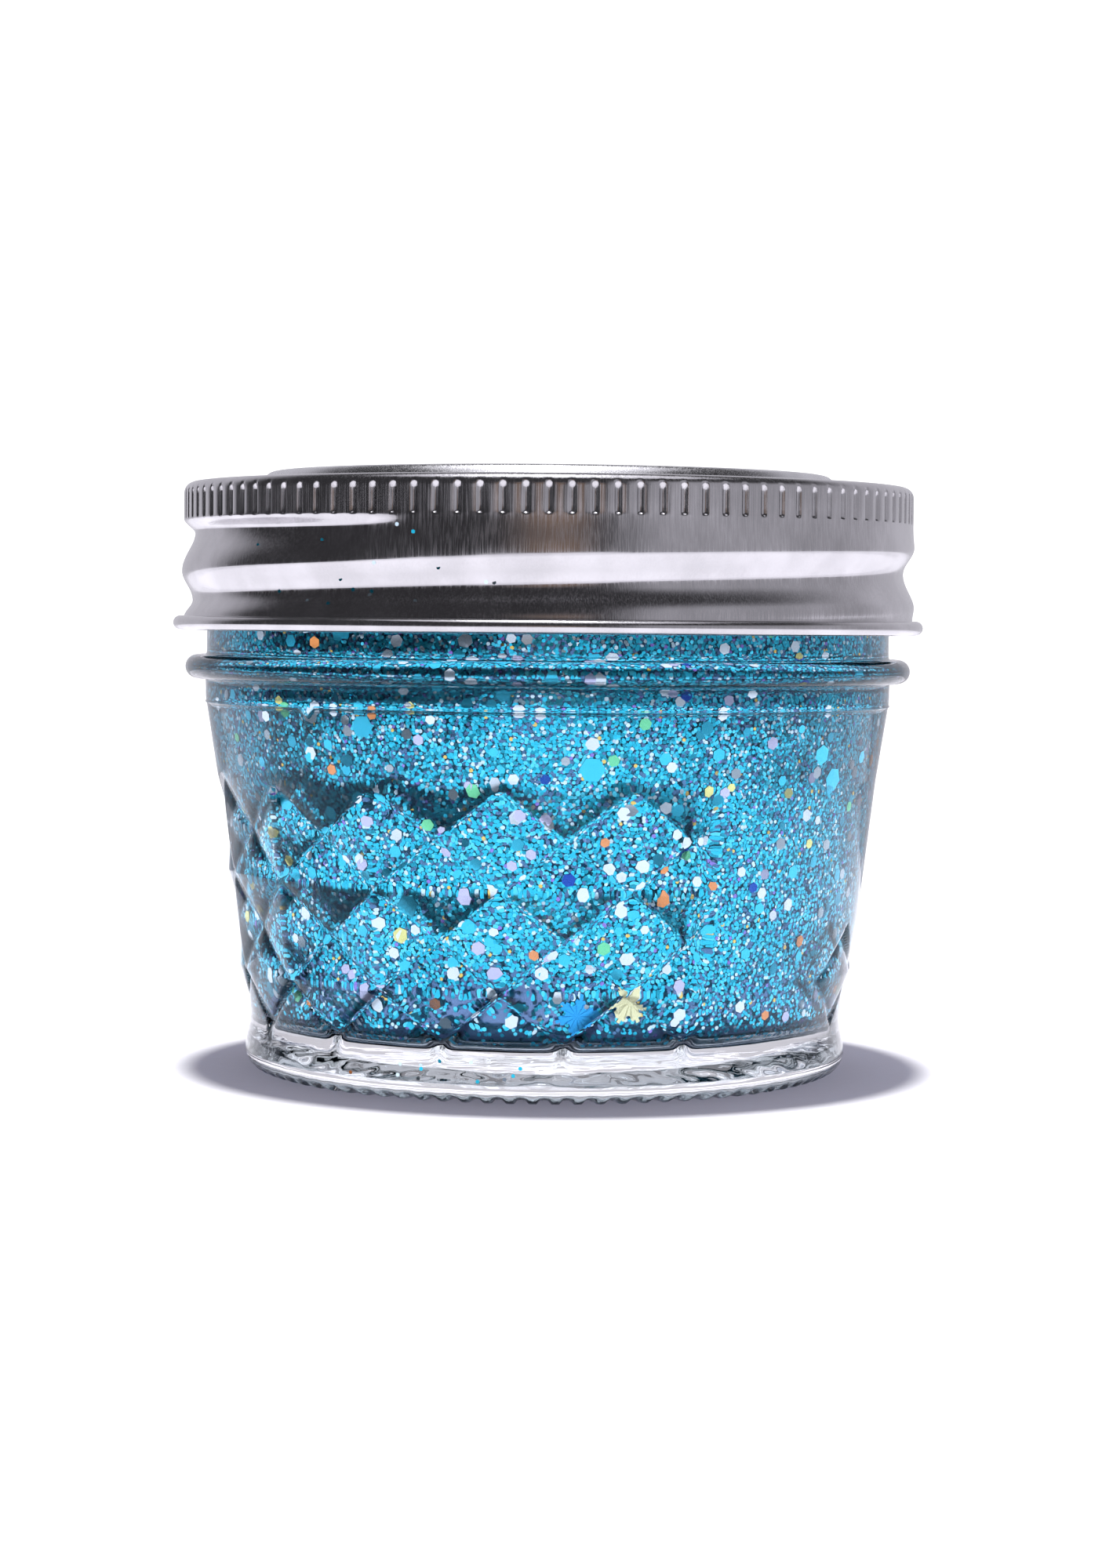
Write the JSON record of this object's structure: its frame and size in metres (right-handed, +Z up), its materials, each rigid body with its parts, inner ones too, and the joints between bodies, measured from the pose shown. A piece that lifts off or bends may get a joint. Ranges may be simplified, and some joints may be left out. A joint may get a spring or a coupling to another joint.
{
  "type": "mason jar",
  "caption": "Small quilted glass preserving jar with a two-piece screw lid: flat sealing disc and knurled screw band, filled with glitter gel.",
  "frame": {"origin": "on the jar's axis, on the surface it stands on", "axes": "+Z up along the jar's axis of turning; the front faces -Y"},
  "size_m": [0.0736, 0.0736, 0.0584],
  "materials": {
    "glass": "clear, fire-polished",
    "gel": "wet, translucent blue gel",
    "fine_foil": "metallic film",
    "pearl_foil": "pearly film",
    "blue_foil": "metallic film",
    "gold_foil": "holographic film",
    "disc_tinplate": "satin tin plate",
    "sealing_compound": "matte",
    "band_tinplate": "satin tin plate, brushed along the axis"
  },
  "bodies": {
    "jar": {"glass_jar": "glass", "glitter_gel": "gel", "fine_glitter": "fine_foil", "medium_flakes": "pearl_foil", "large_flakes": "blue_foil", "star_flakes": "gold_foil"},
    "disc": {"lid_disc": "disc_tinplate", "sealing_ring": "sealing_compound"},
    "band": {"screw_band": "band_tinplate"}
  },
  "joints": [
    {"name": "lid_lift", "type": "slide", "parent": "jar", "child": "disc", "axis": [0, 0, 1], "range_m": [0, 0.01905]},
    {"name": "band_turn", "type": "hinge", "parent": "disc", "child": "band", "pos_m": [0, 0, 0.05], "axis": [0, 0, 1], "range_deg": [0, 1080]}
  ],
  "couplings": [
    {"joint": "band_turn", "follows": "lid_lift", "rad_per_m": 989.48}
  ]
}
